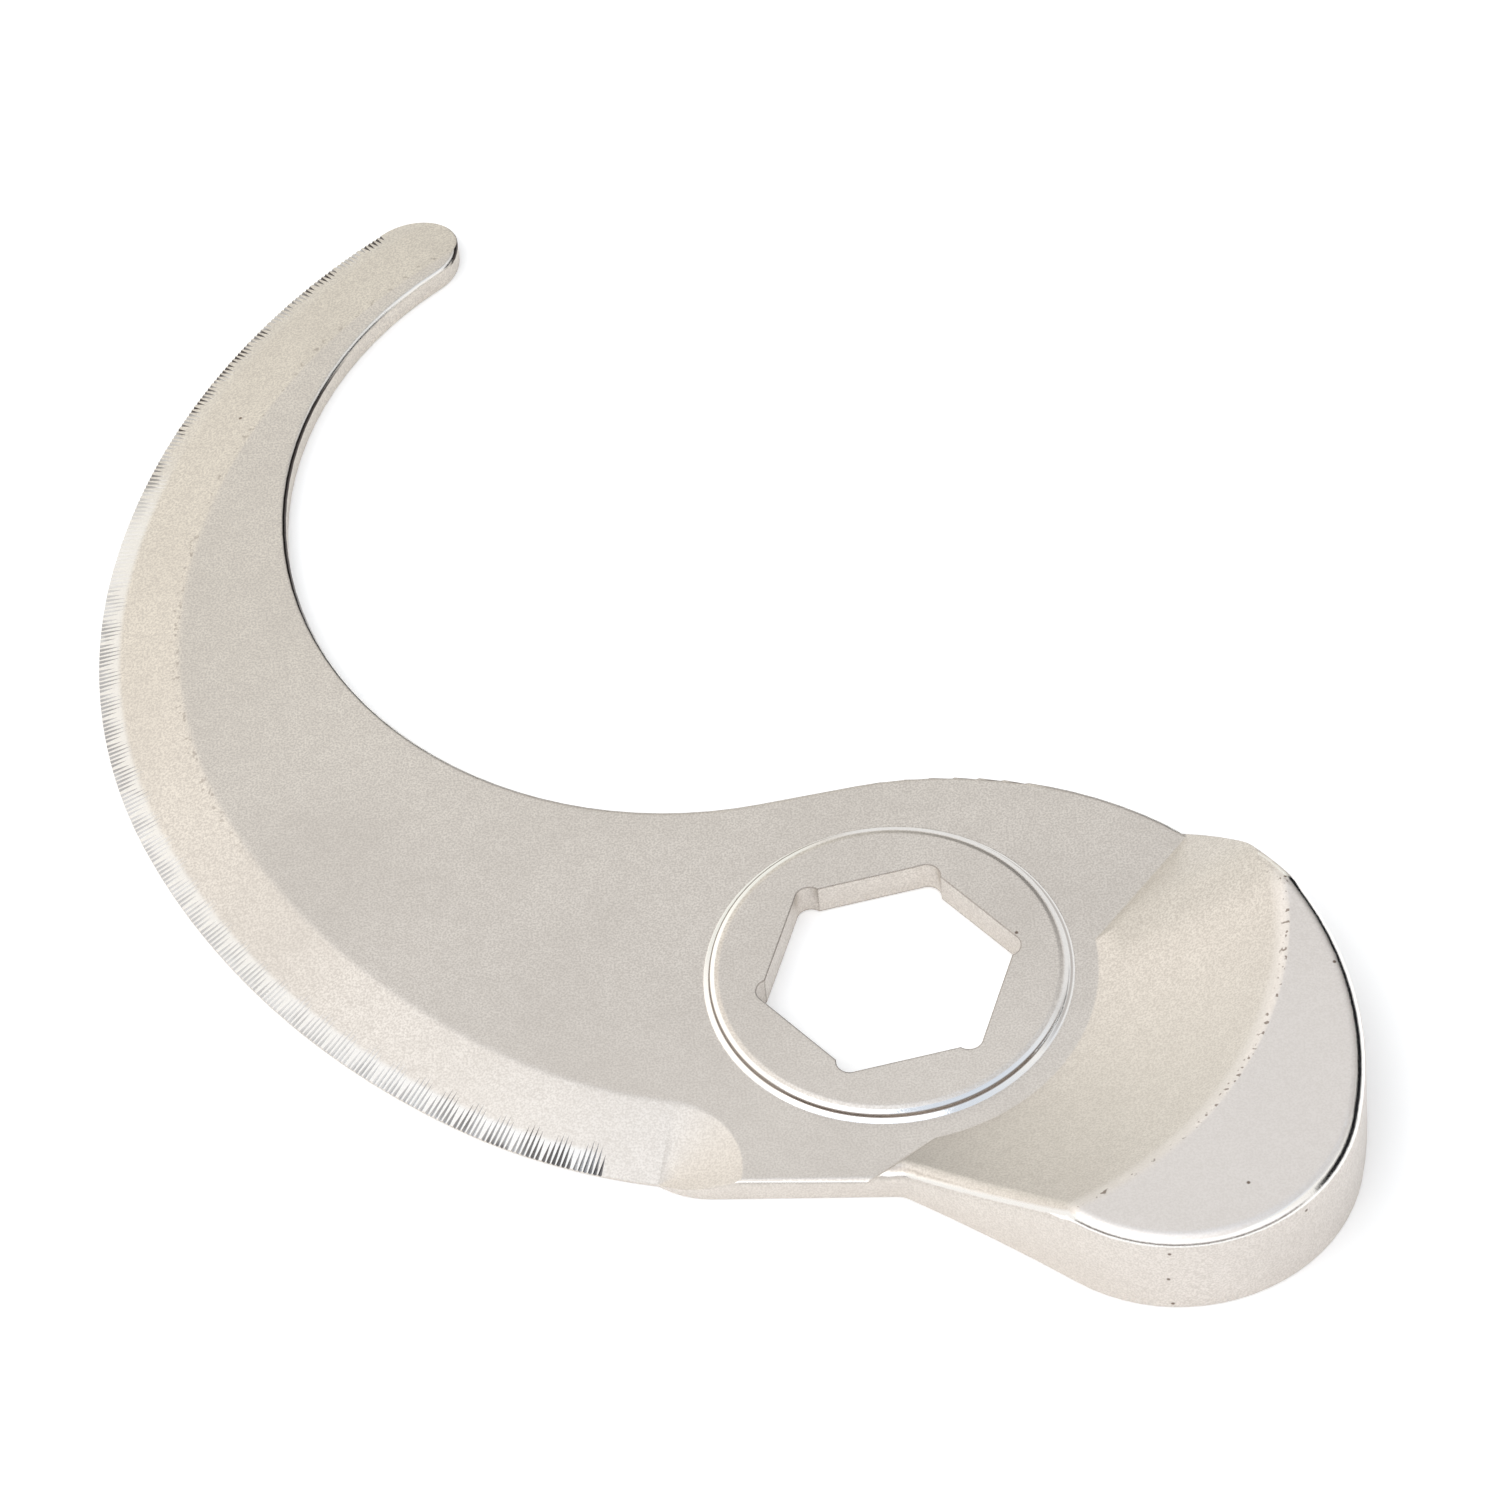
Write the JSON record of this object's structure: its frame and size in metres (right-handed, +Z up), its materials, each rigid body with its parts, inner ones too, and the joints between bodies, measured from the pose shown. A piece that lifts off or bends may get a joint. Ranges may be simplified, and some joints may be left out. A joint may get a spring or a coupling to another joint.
{
  "type": "food processor blade",
  "caption": "Flat sickle-shaped cutter blade with a bevelled serrated outer edge, a hexagonal drive hole in a raised boss, and a thick counterweight lobe with a sloping ramp.",
  "frame": {"origin": "drive axis of the hexagonal hole, on the plane of the flat underside", "axes": "+Z up the drive axis from the underside to the boss, +X towards the counterweight lobe's side, +Y towards the sickle's tip"},
  "size_m": [0.192, 0.2332, 0.0167],
  "materials": {
    "blade_steel": "satin blasted stainless steel, ground bevel, polished edge rounds"
  },
  "bodies": {
    "root": {"serrated_blade": "blade_steel"}
  },
  "joints": []
}
